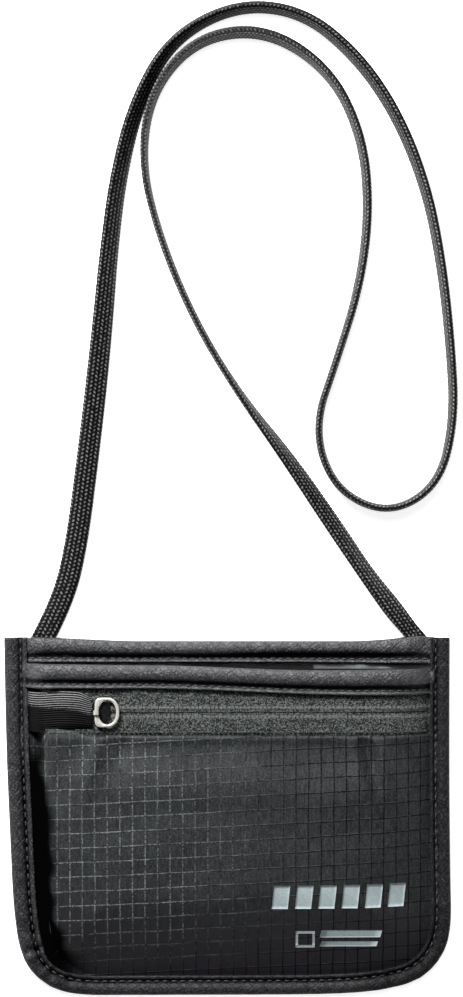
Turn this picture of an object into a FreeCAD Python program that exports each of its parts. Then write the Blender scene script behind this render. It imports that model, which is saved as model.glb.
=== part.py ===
# A neck pouch wallet: a flat fabric pouch with an open slot and a zipped pocket, on a braided cord.
# Millimetres, +Z up. The pouch lies on its back, with its cord laid out above it.
# The origin is the bottom centre of the pouch: +X runs across it, +Y towards the cord and +Z out of
# its front.
import FreeCAD, Part
import math
import os

Vector = FreeCAD.Vector

# Outline of the pouch
POUCH_WIDTH = 145.0
POUCH_HEIGHT = 116.0
CORNER_RADIUS = 20.0
BINDING_WIDTH = 7.2

# Thickness of the materials
PLY = 0.3
LINER_PLY = 0.2
TAPE_PLY = 0.4
RIBBON_PLY = 0.4
HOOK_PLY = 0.8
PRINT_PLY = 0.1

# Edges of the layers, as Y
BACK_TOP = 57.0
BACK_BAND_TOP = 57.3
BACK_BAND_BOTTOM = 49.7
FRONT_TOP = 48.2
FRONT_BAND_TOP = 48.5
FRONT_BAND_BOTTOM = 41.0
ZIP_CENTRE = 34.3
FRONT_PANEL_TOP = 26.8
HEM_WIDTH = 3.5

# Heights of the plies where they are sewn together under the perimeter binding
BACK_PANEL_Z = 2 * PLY
BACK_LINER_Z = BACK_PANEL_Z + PLY
DIVIDER_RIM_Z = BACK_LINER_Z + LINER_PLY
FRONT_LINER_RIM_Z = DIVIDER_RIM_Z + PLY
TAPE_RIM_Z = FRONT_LINER_RIM_Z + LINER_PLY
FRONT_RIM_Z = TAPE_RIM_Z + TAPE_PLY
UPPER_FLAP_Z = FRONT_RIM_Z + RIBBON_PLY
BINDING_TOP_Z = UPPER_FLAP_Z + PLY

# Heights of the same plies in the middle, where the two pockets stand open
DIVIDER_Z = 6.0
TAPE_Z = 8.3
FRONT_Z = 10.7
TAPE_TOP_Z = TAPE_Z + TAPE_PLY

# The layers climb from the binding at this slope, from a ring just inside it
SIDE_SLOPE = 0.6
RIM_INSET = BINDING_WIDTH + 0.2
CROWN_RUN = 11.6
RING_CHAMFER = 18.0

# Back band: thin in the middle, thicker over the cord's ends
BACK_BAND_TOP_Z = DIVIDER_RIM_Z + 0.4
BACK_BAND_END_Z = 2.2
BACK_BAND_THIN_HALF = 46.0

# Hook-and-loop closure inside the slot
CLOSURE_X = (-20.0, 28.3)
CLOSURE_Y = (33.5, 49.5)

# Zipper chain and slider
COIL_HALF_LENGTH = 53.0
COIL_PITCH = 1.25
COIL_THICKNESS = 1.0
CHAIN_GAP = 0.45
COIL_WIDTH = 1.5
SPINE_WIDTH = 0.5
TOOTH_LENGTH = 0.7
TAPE_GAP = 0.4
TAPE_UNDER_HEM = 5.6
SLIDER_X = (-47.2, -37.6)
SLIDER_WIDTH = (7.0, 5.8)
SLIDER_PLATE = 0.5
SLIDER_CLEARANCE = 0.1
SLIDER_RAIL = 0.6
SLIDER_POST = (2.4, 0.6)
SLIDER_POST_SETBACK = 0.5
SLIDER_RAIL_SETBACK = 1.5
SLIDER_CORNER_RADIUS = 1.45

# Puller: a D-shaped ring on the slider's bridge
PULLER_LENGTH = 8.0
PULLER_WIDTH = 9.6
PULLER_THICKNESS = 1.0
PULLER_OPENING = (5.7, 7.8)
PULLER_BAR = 1.0
PULLER_CORNER = 1.0
PULLER_ROUNDING = 0.3
HINGE_X = -42.1
HINGE_RISE = 0.75
BRIDGE_RADIUS = 1.3
BRIDGE_HOLE_RADIUS = 0.72
BRIDGE_WIDTH = 1.4

# Ribbon over the closed end of the zipper
END_TAB_RIGHT = -43.6
END_TAB_Y = (28.0, 40.8)
END_TAB_RISE = 0.7

# Stitches
STITCH_PITCH = 2.8
STITCH_LENGTH = 1.8
STITCH_WIDTH = 0.45
STITCH_HEIGHT = 0.2
SEAM_TO_EDGE = 1.6
HEM_SEAM_BEYOND_FOLD = 1.1
PERIMETER_SEAM_END = 1.0

# Printed mark: a row of plain bars, and a card outline beside two lines
MARK_BAR_COUNT = 6
MARK_BAR_SIZE = (5.2, 7.8)
MARK_BAR_PITCH = 7.5
MARK_ROW_START = (14.8, -29.2)
CARD_CORNER = (22.2, -42.0)
CARD_SIZE = (6.2, 5.6)
CARD_LINE = 0.7
SIDE_LINE_SIZE = (19.0, 1.6)
SIDE_LINE_GAP = 1.4

# Neck cord: a flat tubular braid, as a round tube of about the same section
CORD_DIAMETER = 4.1
CORD_WIDTH = 7.0
CORD_END_THICKNESS = 0.8
CORD_Z = CORD_DIAMETER / 2 + 0.1
CORD_END_LOWEST_Y = 48.5
CORD_END_REACH = 14.5
CORD_BEND_SHARE = 0.45

# Route of the cord, from its left end to its right end
CORD_ROUTE = [
    (-58.6, 59.4),
    (-53.2, 71.5),
    (-49.2, 90),
    (-46.2, 113),
    (-43.2, 137),
    (-40.6, 161),
    (-38.6, 184),
    (-35.6, 208),
    (-29.7, 231.3),
    (-18.5, 252.4),
    (3, 264),
    (25, 261.5),
    (43, 246.5),
    (56, 227),
    (65, 203),
    (69.7, 178),
    (72.5, 153),
    (74, 129),
    (69, 107.5),
    (52.5, 98),
    (35, 106.5),
    (28.3, 126),
    (36, 149),
    (43.2, 172),
    (46.2, 196),
    (44, 220),
    (33.8, 242),
    (13, 255.5),
    (-9.3, 251.8),
    (-23.3, 235.5),
    (-26.8, 212.5),
    (-21.3, 187),
    (-10, 160),
    (4.5, 136.5),
    (19.5, 117),
    (34.5, 95),
    (48.8, 73.5),
    (59.5, 59.2),
]

HALF_WIDTH = POUCH_WIDTH / 2
HALF_HEIGHT = POUCH_HEIGHT / 2


def box(x, y, z):
    """A box between two values along each axis."""
    size = [high - low for low, high in (x, y, z)]
    return Part.makeBox(*size, Vector(x[0], y[0], z[0]))


def prism(wire, z):
    """A closed flat wire raised from the lower of two heights to the upper one."""
    face = Part.Face(wire)
    face.translate(Vector(0, 0, z[0]))
    return face.extrude(Vector(0, 0, z[1] - z[0]))


def outline(inset, top):
    """The pouch's outline moved inwards, cut straight across at its top."""
    side = HALF_WIDTH - inset
    bottom = -HALF_HEIGHT + inset
    centre_x = HALF_WIDTH - CORNER_RADIUS
    centre_y = -HALF_HEIGHT + CORNER_RADIUS
    radius = CORNER_RADIUS - inset
    edges = []
    for sign in (-1, 1):
        middle = Vector(
            sign * (centre_x + radius * math.sqrt(0.5)), centre_y - radius * math.sqrt(0.5), 0
        )
        corner = (Vector(sign * side, centre_y, 0), middle, Vector(sign * centre_x, bottom, 0))
        edges.append(Part.Arc(*corner).toShape())
        edges.append(Part.makeLine(Vector(sign * side, top, 0), corner[0]))
    edges.append(Part.makeLine(Vector(-centre_x, bottom, 0), Vector(centre_x, bottom, 0)))
    edges.append(Part.makeLine(Vector(-side, top, 0), Vector(side, top, 0)))
    return Part.Wire(Part.__sortEdges__(edges))


def ring(inset, top, z):
    """Six corners of the pouch's outline moved inwards, with its round corners cut straight."""
    side = HALF_WIDTH - inset
    bottom = -HALF_HEIGHT + inset
    chamfer = RING_CHAMFER - inset * (2 - math.sqrt(2))
    right = [(side - chamfer, bottom), (side, bottom + chamfer), (side, top)]
    left = [(-x, y) for x, y in reversed(right)]
    return [Vector(x, y, z) for x, y in right + left]


def frustum(lower, upper):
    """The solid between two rings of parallel sides."""
    count = len(lower)
    sides = [(lower[i], lower[i - 1], upper[i - 1], upper[i]) for i in range(count)]
    faces = [Part.Face(Part.makePolygon([*corners, corners[0]])) for corners in [lower, upper, *sides]]
    return Part.Solid(Part.Shell(faces))


def hill(levels, top, lift):
    """Everything under a layer that lies flat at its rim and climbs through rings of levels."""
    solid = prism(outline(PLY, top), (-1, levels[0][0][2] + lift))
    for lower, upper in levels:
        rings = [ring(inset, ring_top, z + lift) for inset, ring_top, z in (lower, upper)]
        solid = solid.fuse(frustum(*rings))
    return solid.removeSplitter()


def layer(levels, top, lift, thickness):
    """One sheet that follows the hill."""
    return hill(levels, top, lift + thickness).cut(hill(levels, top, lift))


def bent_strip(low, high, y):
    """A strip across the pouch, flat in the middle and sloping down to its rim at both ends.

    low and high are the heights of its two faces, each as (rim, middle).
    """
    rim_x = HALF_WIDTH - RIM_INSET
    end_x = HALF_WIDTH - PLY
    points = []
    for rim_z, middle_z in (low, high):
        knee_x = rim_x - (middle_z - rim_z) / SIDE_SLOPE
        half = [(end_x, rim_z), (rim_x, rim_z), (knee_x, middle_z)]
        side = half + [(-x, z) for x, z in reversed(half)]
        points.extend(side if not points else reversed(side))
    corners = [Vector(x, y[0], z) for x, z in points]
    return Part.Face(Part.makePolygon([*corners, corners[0]])).extrude(Vector(0, y[1] - y[0], 0))


def divider_levels():
    run = (DIVIDER_Z - DIVIDER_RIM_Z) / SIDE_SLOPE
    rim = (RIM_INSET, FRONT_TOP, DIVIDER_RIM_Z)
    return [(rim, (RIM_INSET + run, FRONT_TOP, DIVIDER_Z))]


def front_levels():
    run = (TAPE_TOP_Z - FRONT_RIM_Z) / SIDE_SLOPE
    shoulder = RIM_INSET + run
    hem_bottom = FRONT_PANEL_TOP - HEM_WIDTH
    rim = (RIM_INSET, FRONT_PANEL_TOP, FRONT_RIM_Z)
    crown_start = (shoulder, hem_bottom, TAPE_TOP_Z)
    crown = (shoulder + CROWN_RUN, hem_bottom - CROWN_RUN, FRONT_Z)
    return [(rim, (shoulder, FRONT_PANEL_TOP, TAPE_TOP_Z)), (crown_start, crown)]


def back_panel():
    return prism(outline(PLY, BACK_TOP), (BACK_PANEL_Z, BACK_LINER_Z))


def back_shield_liner():
    return prism(outline(PLY, BACK_TOP), (BACK_LINER_Z, DIVIDER_RIM_Z))


def divider_panel():
    return layer(divider_levels(), FRONT_TOP, 0, PLY)


def front_shield_liner():
    return layer(divider_levels(), FRONT_TOP, PLY, LINER_PLY)


def front_panel():
    return layer(front_levels(), FRONT_PANEL_TOP, 0, PLY)


def perimeter_binding():
    """Tape folded round the left, bottom and right edges, open where it is cut at the top."""
    beyond = HALF_HEIGHT + 1
    tape = prism(outline(0, HALF_HEIGHT), (0, BINDING_TOP_Z))
    tape = tape.cut(prism(outline(BINDING_WIDTH, beyond), (-1, BINDING_TOP_Z + 1)))
    return tape.cut(prism(outline(PLY, beyond), (PLY, UPPER_FLAP_Z)))


def back_top_binding(covered):
    """Tape folded over the back's top edge, with room for what it covers."""
    end = HALF_WIDTH - PLY
    y = (BACK_BAND_BOTTOM, BACK_BAND_TOP)
    tape = box((-end, end), y, (PLY, BACK_BAND_TOP_Z))
    for side in ((-end, -BACK_BAND_THIN_HALF), (BACK_BAND_THIN_HALF, end)):
        tape = tape.fuse(box(side, y, (PLY, BACK_BAND_END_Z)))
    return tape.cut(covered).removeSplitter()


def front_top_binding(covered):
    """Tape folded over the divider and the zipper's upper tape together."""
    y = (FRONT_BAND_BOTTOM, FRONT_BAND_TOP)
    low = (DIVIDER_RIM_Z - PLY, DIVIDER_Z - PLY)
    high = (FRONT_RIM_Z + PLY, TAPE_TOP_Z + PLY)
    inside = HALF_WIDTH - RIM_INSET
    room = box((-inside, inside), y, (DIVIDER_RIM_Z, TAPE_TOP_Z + 1))
    return bent_strip(low, high, y).common(room).cut(covered).removeSplitter()


def zip_tape(y):
    return bent_strip((TAPE_RIM_Z, TAPE_Z), (FRONT_RIM_Z, TAPE_TOP_Z), y)


def zip_coil(side):
    """One half of the chain, under its tape: a spine with teeth towards the centre."""
    inner = ZIP_CENTRE + side * CHAIN_GAP
    outer = inner + side * COIL_WIDTH
    root = outer - side * SPINE_WIDTH
    z = TAPE_Z - COIL_THICKNESS
    points = [(COIL_HALF_LENGTH, outer), (-COIL_HALF_LENGTH, outer)]
    for i in range(round(2 * COIL_HALF_LENGTH / COIL_PITCH)):
        x = -COIL_HALF_LENGTH + i * COIL_PITCH
        points.extend([(x, root), (x, inner), (x + TOOTH_LENGTH, inner), (x + TOOTH_LENGTH, root)])
    points.append((COIL_HALF_LENGTH, root))
    corners = [Vector(x, y, z) for x, y in points]
    comb = Part.Face(Part.makePolygon([*corners, corners[0]]))
    return comb.extrude(Vector(0, 0, COIL_THICKNESS))


def slider_plate(z):
    """One of the slider's two plates, wider at its mouth."""
    left, right = SLIDER_X
    mouth, tail = [width / 2 for width in SLIDER_WIDTH]
    points = [(left, -mouth), (right, -tail), (right, tail), (left, mouth)]
    corners = [Vector(x, ZIP_CENTRE + y, 0) for x, y in points]
    plate = prism(Part.makePolygon([*corners, corners[0]]), z)
    upright = [edge for edge in plate.Edges if edge.BoundBox.ZLength > SLIDER_PLATE / 2]
    return plate.makeFillet(SLIDER_CORNER_RADIUS, upright)


def hinge_height():
    return TAPE_TOP_Z + SLIDER_CLEARANCE + SLIDER_PLATE + HINGE_RISE


def zip_slider():
    """Two plates round the chain, joined by a post in its centre, with a bridge on top."""
    left, right = SLIDER_X
    top = TAPE_TOP_Z + SLIDER_CLEARANCE
    bottom = TAPE_Z - COIL_THICKNESS - SLIDER_CLEARANCE
    body = slider_plate((top, top + SLIDER_PLATE)).fuse(slider_plate((bottom - SLIDER_PLATE, bottom)))
    length, width = SLIDER_POST
    post_y = (ZIP_CENTRE - width / 2, ZIP_CENTRE + width / 2)
    post_left = left + SLIDER_POST_SETBACK
    body = body.fuse(box((post_left, post_left + length), post_y, (bottom, top)))
    rail = SLIDER_WIDTH[1] / 2 - SLIDER_RAIL
    for side in (-1, 1):
        y = sorted(ZIP_CENTRE + side * reach for reach in (rail, rail + SLIDER_RAIL))
        rail_top = TAPE_Z - SLIDER_CLEARANCE
        rail_x = (left + SLIDER_RAIL_SETBACK, right - SLIDER_RAIL_SETBACK)
        body = body.fuse(box(rail_x, y, (bottom, rail_top)))
    return body.fuse(slider_bridge(top + SLIDER_PLATE)).removeSplitter()


def slider_bridge(foot_z):
    """An arch over the puller's bar."""
    y = ZIP_CENTRE - BRIDGE_WIDTH / 2
    centre = Vector(HINGE_X, y, hinge_height())
    along = Vector(0, 1, 0)
    x = (HINGE_X - BRIDGE_RADIUS, HINGE_X + BRIDGE_RADIUS)
    arch = box(x, (y, y + BRIDGE_WIDTH), (foot_z, centre.z))
    arch = arch.fuse(Part.makeCylinder(BRIDGE_RADIUS, BRIDGE_WIDTH, centre, along))
    return arch.cut(Part.makeCylinder(BRIDGE_HOLE_RADIUS, BRIDGE_WIDTH, centre, along))


def zip_puller():
    """A flat D-shaped ring with an oval opening. Its straight side is the hinge's bar."""
    left = HINGE_X - PULLER_BAR / 2
    half = PULLER_WIDTH / 2
    bow_x = left + PULLER_LENGTH - half
    corner = PULLER_CORNER
    bend = corner * (1 - math.sqrt(0.5))
    upper = [(bow_x, half), (left + corner, half), (left + bend, half - bend), (left, half - corner)]
    lower = [(x, -y) for x, y in reversed(upper)]
    z = hinge_height() - PULLER_THICKNESS / 2
    points = [Vector(x, ZIP_CENTRE + y, z) for x, y in upper + lower]
    tip = Vector(bow_x + half, ZIP_CENTRE, z)
    edges = [
        Part.LineSegment(points[0], points[1]),
        Part.Arc(points[1], points[2], points[3]),
        Part.LineSegment(points[3], points[4]),
        Part.Arc(points[4], points[5], points[6]),
        Part.LineSegment(points[6], points[7]),
        Part.Arc(points[7], tip, points[0]),
    ]
    up = Vector(0, 0, PULLER_THICKNESS)
    plate = Part.Face(Part.Wire([edge.toShape() for edge in edges])).extrude(up)
    minor, major = [size / 2 for size in PULLER_OPENING]
    centre = Vector(left + PULLER_BAR + minor, ZIP_CENTRE, z)
    oval = Part.Ellipse(centre + Vector(0, major, 0), centre + Vector(minor, 0, 0), centre).toShape()
    ring_plate = plate.cut(Part.Face(Part.Wire(oval)).extrude(up))
    flat = [edge for edge in ring_plate.Edges if edge.BoundBox.ZLength < PULLER_THICKNESS / 2]
    return ring_plate.makeFillet(PULLER_ROUNDING, flat)


def zip_end_tab():
    """A ribbon that covers the closed end of the zipper and the slider parked there."""
    high_z = TAPE_TOP_Z + END_TAB_RISE
    low = (FRONT_RIM_Z, high_z)
    high = (FRONT_RIM_Z + RIBBON_PLY, high_z + RIBBON_PLY)
    ribbon = bent_strip(low, high, END_TAB_Y)
    return ribbon.common(box((-HALF_WIDTH, END_TAB_RIGHT), END_TAB_Y, (0, high_z + 1)))


def closure_strip(z):
    return box(CLOSURE_X, CLOSURE_Y, z)


def cord_end(point, neighbour):
    """The cord's end, pressed flat: it lies from the route's end into the seam behind it."""
    x, y = point
    length = math.dist(point, neighbour)
    along = Vector(x - neighbour[0], y - neighbour[1], 0) / length
    across = Vector(-along.y, along.x, 0) * (CORD_WIDTH / 2)
    start = Vector(x, y, DIVIDER_RIM_Z)
    far = start + along * CORD_END_REACH
    corners = [start - across, start + across, far + across, far - across]
    flat = Part.Face(Part.makePolygon([*corners, corners[0]]))
    solid = flat.extrude(Vector(0, 0, CORD_END_THICKNESS))
    side = HALF_WIDTH - PLY
    return solid.common(box((-side, side), (CORD_END_LOWEST_Y, HALF_HEIGHT * 2), (0, BINDING_TOP_Z)))


def rounded_path(route):
    """Straight runs joined by tangent arcs, and the radii of the arcs."""
    edges, radii = [], []
    last = route[0]
    for before, corner, after in zip(route, route[1:], route[2:]):
        into = (corner - before).normalize()
        out = (after - corner).normalize()
        half_turn = into.getAngle(out) / 2
        cut = CORD_BEND_SHARE * min((corner - before).Length, (after - corner).Length)
        radius = cut / math.tan(half_turn)
        start, end = corner - into * cut, corner + out * cut
        inwards = (out - into).normalize()
        middle = corner + inwards * radius * (1 / math.cos(half_turn) - 1)
        edges.append(Part.LineSegment(last, start).toShape())
        edges.append(Part.Arc(start, middle, end).toShape())
        radii.append(radius)
        last = end
    edges.append(Part.LineSegment(last, route[-1]).toShape())
    return Part.Wire(edges), radii


def neck_cord():
    route = [Vector(x, y, CORD_Z) for x, y in CORD_ROUTE]
    path, radii = rounded_path(route)
    circle = Part.makeCircle(CORD_DIAMETER / 2, route[0], route[1] - route[0])
    tube = path.makePipeShell([Part.Wire(circle)], True, False)
    expected = path.Length * math.pi * CORD_DIAMETER**2 / 4
    print("cord length", round(path.Length, 1), "smallest radius", round(min(radii), 1))
    print("cord radii", [round(radius) for radius in radii])
    print("cord volume over section times length", round(tube.Volume / expected, 4))
    return tube


def stitches(wire, z):
    """Short raised stitches along a wire."""
    count = round(wire.Length / STITCH_PITCH)
    points = wire.discretize(Number=2 * count + 1)
    rows = []
    for middle, ahead in zip(points[1::2], points[2::2]):
        stitch = box((0, STITCH_LENGTH), (0, STITCH_WIDTH), (0, STITCH_HEIGHT))
        stitch.translate(Vector(-STITCH_LENGTH / 2, -STITCH_WIDTH / 2, 0))
        angle = math.degrees(math.atan2(ahead.y - middle.y, ahead.x - middle.x))
        stitch.rotate(Vector(0, 0, 0), Vector(0, 0, 1), angle)
        stitch.translate(Vector(middle.x, middle.y, z))
        rows.append(stitch)
    return Part.makeCompound(rows)


def straight_stitches(half_length, y, z):
    line = Part.makeLine(Vector(-half_length, y, 0), Vector(half_length, y, 0))
    return stitches(Part.Wire(line), z)


def perimeter_stitching():
    top = HALF_HEIGHT - PERIMETER_SEAM_END
    seam = outline(BINDING_WIDTH - SEAM_TO_EDGE, top)
    edges = [edge for edge in seam.Edges if edge.BoundBox.YMin < top - PERIMETER_SEAM_END]
    return stitches(Part.Wire(Part.__sortEdges__(edges)), BINDING_TOP_Z)


def front_print():
    """Thin ink on the front panel."""
    marks = []
    x, y = MARK_ROW_START
    width, height = MARK_BAR_SIZE
    z = (0, FRONT_Z + 1)
    for i in range(MARK_BAR_COUNT):
        left = x + i * MARK_BAR_PITCH
        marks.append(box((left, left + width), (y, y + height), z))
    x, y = CARD_CORNER
    width, height = CARD_SIZE
    card = box((x, x + width), (y, y + height), z)
    window_x = (x + CARD_LINE, x + width - CARD_LINE)
    window_y = (y + CARD_LINE, y + height - CARD_LINE)
    marks.append(card.cut(box(window_x, window_y, z)))
    line_x = x + width + SIDE_LINE_GAP
    length, line_height = SIDE_LINE_SIZE
    for line_y in (y + CARD_LINE, y + height - CARD_LINE - line_height):
        marks.append(box((line_x, line_x + length), (line_y, line_y + line_height), z))
    ink = layer(front_levels(), FRONT_PANEL_TOP, PLY, PRINT_PLY)
    return Part.makeCompound([solid for mark in marks for solid in ink.common(mark).Solids])


def main():
    band_stitch_half = BACK_BAND_THIN_HALF - STITCH_LENGTH
    flat_half = COIL_HALF_LENGTH - STITCH_LENGTH
    tape_upper = zip_tape((ZIP_CENTRE + TAPE_GAP, FRONT_TOP))
    tape_lower = zip_tape((FRONT_PANEL_TOP - TAPE_UNDER_HEM, ZIP_CENTRE - TAPE_GAP))
    end_left = cord_end(CORD_ROUTE[0], CORD_ROUTE[1])
    end_right = cord_end(CORD_ROUTE[-1], CORD_ROUTE[-2])
    back = [back_panel(), back_shield_liner()]
    front = [divider_panel(), front_shield_liner()]
    nodes = {
        "back_panel": back[0],
        "back_shield_liner": back[1],
        "back_top_binding": back_top_binding([*back, end_left, end_right]),
        "back_band_stitching": straight_stitches(
            band_stitch_half, BACK_BAND_BOTTOM + SEAM_TO_EDGE, BACK_BAND_TOP_Z
        ),
        "hook_strip": closure_strip((DIVIDER_RIM_Z, DIVIDER_RIM_Z + HOOK_PLY)),
        "loop_strip": closure_strip((DIVIDER_Z - PLY - HOOK_PLY, DIVIDER_Z - PLY)),
        "divider_panel": front[0],
        "front_shield_liner": front[1],
        "front_top_binding": front_top_binding([*front, tape_upper]),
        "front_band_stitching": straight_stitches(
            flat_half, FRONT_BAND_BOTTOM + SEAM_TO_EDGE, TAPE_TOP_Z + PLY
        ),
        "zip_tape_upper": tape_upper,
        "zip_tape_lower": tape_lower,
        "zip_coil_upper": zip_coil(1),
        "zip_coil_lower": zip_coil(-1),
        "zip_slider": zip_slider(),
        "zip_puller": zip_puller(),
        "zip_end_tab": zip_end_tab(),
        "front_panel": front_panel(),
        "zip_hem_stitching": straight_stitches(
            flat_half, FRONT_PANEL_TOP + HEM_SEAM_BEYOND_FOLD, TAPE_TOP_Z
        ),
        "front_print": front_print(),
        "perimeter_binding": perimeter_binding(),
        "perimeter_stitching": perimeter_stitching(),
        "cord_end_left": end_left,
        "cord_end_right": end_right,
        "neck_cord": neck_cord(),
    }
    os.makedirs("parts", exist_ok=True)
    for name, shape in nodes.items():
        bounds = shape.BoundBox
        heights = f"z {bounds.ZMin:.2f} to {bounds.ZMax:.2f}"
        print(f"{name}: {len(shape.Solids)} solids, valid {shape.isValid()}, {heights}")
        shape.exportStep(f"parts/{name}.step")


main()
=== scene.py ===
# A neck pouch wallet lying on its back, seen from straight above, with its cord laid out.
# Metres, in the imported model's frame: +X across the pouch, +Y towards the cord, +Z out of its front.
import math

import bpy
import numpy as np
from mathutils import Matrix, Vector


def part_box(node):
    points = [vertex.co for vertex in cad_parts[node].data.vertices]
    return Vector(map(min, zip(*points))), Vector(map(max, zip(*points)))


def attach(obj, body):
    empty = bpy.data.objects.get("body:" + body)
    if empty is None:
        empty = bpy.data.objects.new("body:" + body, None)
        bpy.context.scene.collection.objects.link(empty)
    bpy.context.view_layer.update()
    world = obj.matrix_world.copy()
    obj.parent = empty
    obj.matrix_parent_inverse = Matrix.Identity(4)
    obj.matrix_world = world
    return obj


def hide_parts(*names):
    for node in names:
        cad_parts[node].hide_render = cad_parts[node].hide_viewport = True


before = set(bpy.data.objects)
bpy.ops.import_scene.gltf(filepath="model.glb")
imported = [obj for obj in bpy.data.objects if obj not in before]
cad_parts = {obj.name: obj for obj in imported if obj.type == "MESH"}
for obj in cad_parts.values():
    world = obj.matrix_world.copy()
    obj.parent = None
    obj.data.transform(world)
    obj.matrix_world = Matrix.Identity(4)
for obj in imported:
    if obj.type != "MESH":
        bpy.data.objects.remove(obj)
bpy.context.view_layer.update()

MM = 0.001
RNG = np.random.default_rng(7)


# ---- shared helpers
def spline_points(name, controls, resolution=20):
    """Points along the smooth NURBS spline that these control points pull."""
    curve = bpy.data.curves.new(name, "CURVE")
    curve.dimensions = "3D"
    curve.resolution_u = resolution
    spline = curve.splines.new("NURBS")
    spline.points.add(len(controls) - 1)
    for point, control in zip(spline.points, controls):
        point.co = (*control, 1)
    spline.order_u = 3
    spline.use_endpoint_u = True
    holder = bpy.data.objects.new(name, curve)
    mesh = bpy.data.meshes.new_from_object(holder)
    points = np.array([vertex.co for vertex in mesh.vertices], float)
    bpy.data.objects.remove(holder)
    bpy.data.meshes.remove(mesh)
    bpy.data.curves.remove(curve)
    return points


def lengths_along(points):
    steps = np.linalg.norm(np.diff(points, axis=0), axis=1)
    return np.concatenate([[0], np.cumsum(steps)])


def resample(points, step, *values):
    """The same line at even steps, with any values that change along it."""
    at = lengths_along(points)
    count = max(2, round(at[-1] / step) + 1)
    even = np.linspace(0, at[-1], count)
    line = np.stack([np.interp(even, at, points[:, axis]) for axis in range(points.shape[1])], axis=1)
    return (line, even, *[np.interp(even, at, value) for value in values])


def unit(vectors):
    return vectors / np.linalg.norm(vectors, axis=-1, keepdims=True)


def smoothstep(value, start, end):
    t = np.clip((value - start) / (end - start), 0, 1)
    return t * t * (3 - 2 * t)


def hump(value, centre, width):
    """1 at the centre, falling off smoothly both ways."""
    return np.exp(-((value - centre) / width) ** 2)


def grid_points(x, y, z):
    return np.stack([x, y, z], axis=-1)


def signed_power(value, power):
    """A power that keeps the value's sign, which squares off a circle's sine and cosine."""
    return np.sign(value) * np.abs(value) ** power


def ripple(x, y, wavelength, seed, waves=9):
    """A smooth uneven surface, about -1 to 1 high, made of waves in many directions."""
    draw = np.random.default_rng(seed)
    total = np.zeros(np.broadcast(x, y).shape)
    for _ in range(waves):
        angle = draw.uniform(0, math.pi)
        size = 2 * math.pi / (wavelength * draw.uniform(0.7, 1.5))
        phase = draw.uniform(0, 2 * math.pi)
        total += np.sin((x * math.cos(angle) + y * math.sin(angle)) * size + phase)
    return total / math.sqrt(waves * 2)


def make_mesh(name, points, faces, uv):
    """A smooth mesh from points in millimetres, with its cloth coordinates in millimetres too."""
    mesh = bpy.data.meshes.new(name)
    mesh.from_pydata((points * MM).tolist(), [], faces)
    corner = np.empty(len(mesh.loops), dtype=np.int64)
    mesh.loops.foreach_get("vertex_index", corner)
    layer = mesh.uv_layers.new(name="cloth")
    layer.data.foreach_set("uv", uv[corner].astype(np.float32).ravel())
    mesh.polygons.foreach_set("use_smooth", [True] * len(mesh.polygons))
    mesh.update()
    obj = bpy.data.objects.new(name, mesh)
    bpy.context.scene.collection.objects.link(obj)
    return obj


def add_field(obj, name, values):
    """A number at every point of the mesh, for its material to read."""
    layer = obj.data.attributes.new(name, "FLOAT", "POINT")
    layer.data.foreach_set("value", np.resize(values.astype(np.float32), len(obj.data.vertices)))


def grid_faces(index):
    """Quads between neighbours in a grid of vertex numbers."""
    quads = np.stack([index[:-1, :-1], index[1:, :-1], index[1:, 1:], index[:-1, 1:]], axis=-1)
    return [tuple(face) for face in quads.reshape(-1, 4).tolist()]


def tube_faces(index, closed=False):
    """A skin over rings of vertex numbers. The ends are capped, or joined when the tube is closed."""
    around = np.hstack([index, index[:, :1]])
    if closed:
        return grid_faces(np.vstack([around, around[:1]]))
    return grid_faces(around) + [tuple(index[0].tolist()), tuple(index[-1][::-1].tolist())]


def tube_mesh(name, rings, uv, closed=False):
    index = np.arange(rings[..., 0].size).reshape(rings.shape[:2])
    return make_mesh(name, rings.reshape(-1, 3), tube_faces(index, closed), uv.reshape(-1, 2))


def sheet_faces(upper, lower):
    """Faces over two grids of vertex numbers and round their rim."""
    faces = grid_faces(upper) + grid_faces(lower[:, ::-1])
    rim = [upper[0], upper[:, -1], upper[-1, ::-1], upper[::-1, 0]]
    under = [lower[0], lower[:, -1], lower[-1, ::-1], lower[::-1, 0]]
    for high, low in zip(rim, under):
        faces += grid_faces(np.stack([high, low]))
    return faces


def sheet_mesh(name, top, thickness, uv=None):
    """A closed sheet: a grid of points as its top face, and the same grid lower as its bottom."""
    bottom = top - np.array([0, 0, 1]) * thickness
    rows, columns = top.shape[:2]
    upper = np.arange(rows * columns).reshape(rows, columns)
    faces = sheet_faces(upper, upper + rows * columns)
    points = np.concatenate([top.reshape(-1, 3), bottom.reshape(-1, 3)])
    flat = (top[..., :2] if uv is None else uv).reshape(-1, 2)
    return make_mesh(name, points, faces, np.concatenate([flat, flat]))


def place(obj, body, slot, *nodes):
    """Say what a piece rides on, is made of and stands for."""
    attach(obj, body)
    if nodes:
        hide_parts(*nodes)
    obj.data.materials.clear()
    obj.data.materials.append(MATERIALS[slot])
    return obj


def grey(level):
    return (level, level, level, 1)


# ---- camera, light and floor
POUCH_LOW, POUCH_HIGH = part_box("perimeter_binding")
VIEW_CENTRE_X = 1.5 * MM
VIEW_MARGIN = 1.3 * MM
LENS_MM = 100
SENSOR_MM = 36


def add_camera():
    """Straight above the pouch and its cord, which fill the frame from top to bottom."""
    low_y = POUCH_LOW.y - VIEW_MARGIN / 2
    high_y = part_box("neck_cord")[1].y
    height = high_y - low_y
    data = bpy.data.cameras.new("camera")
    data.lens = LENS_MM
    data.sensor_width = SENSOR_MM
    camera = bpy.data.objects.new("camera", data)
    distance = height * LENS_MM / SENSOR_MM
    camera.location = (VIEW_CENTRE_X, (low_y + high_y) / 2, distance + POUCH_HIGH.z)
    bpy.context.scene.collection.objects.link(camera)
    bpy.context.scene.camera = camera


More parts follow.
